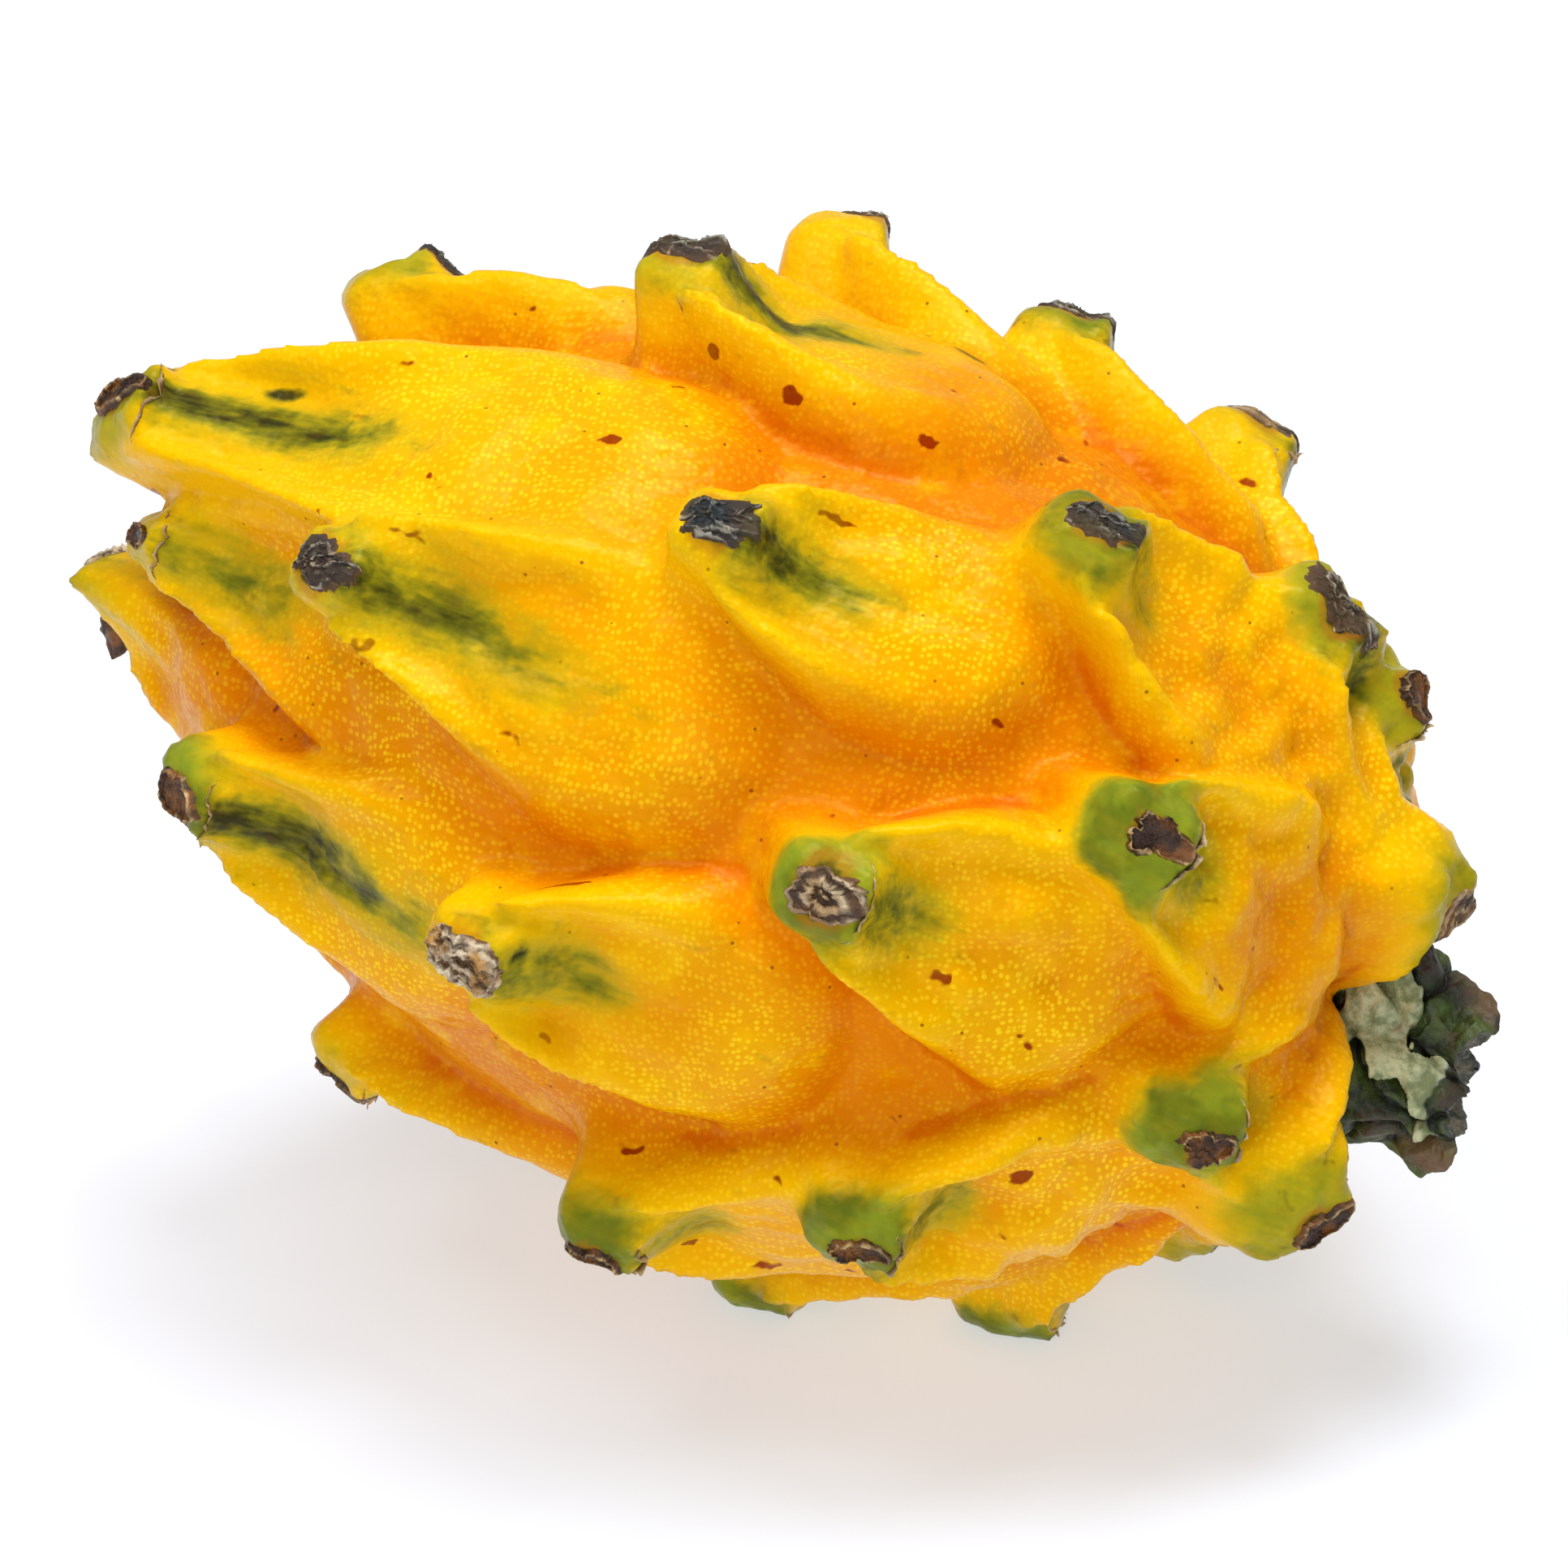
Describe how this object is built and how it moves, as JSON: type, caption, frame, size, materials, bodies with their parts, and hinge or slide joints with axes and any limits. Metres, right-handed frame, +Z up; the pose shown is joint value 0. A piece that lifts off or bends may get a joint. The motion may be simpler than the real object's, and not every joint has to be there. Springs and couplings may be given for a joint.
{
  "type": "yellow dragon fruit",
  "caption": "Whole yellow pitahaya lying on its side, an egg-shaped fruit with a spiral of pointed tubercles and a short cut stem.",
  "frame": {"origin": "on the ground plane, under the middle of the outline", "axes": "+X along the lying fruit towards its stem, +Z up, -Y towards the side seen in the picture"},
  "size_m": [0.1092, 0.0786, 0.0806],
  "materials": {
    "skin": "waxy semi-gloss yellow fruit skin with pale dots and green tips",
    "stem": "dull dark green, drying brown at the cut"
  },
  "bodies": {
    "root": {"fruit": "skin", "stem_stub": "stem"}
  },
  "joints": []
}
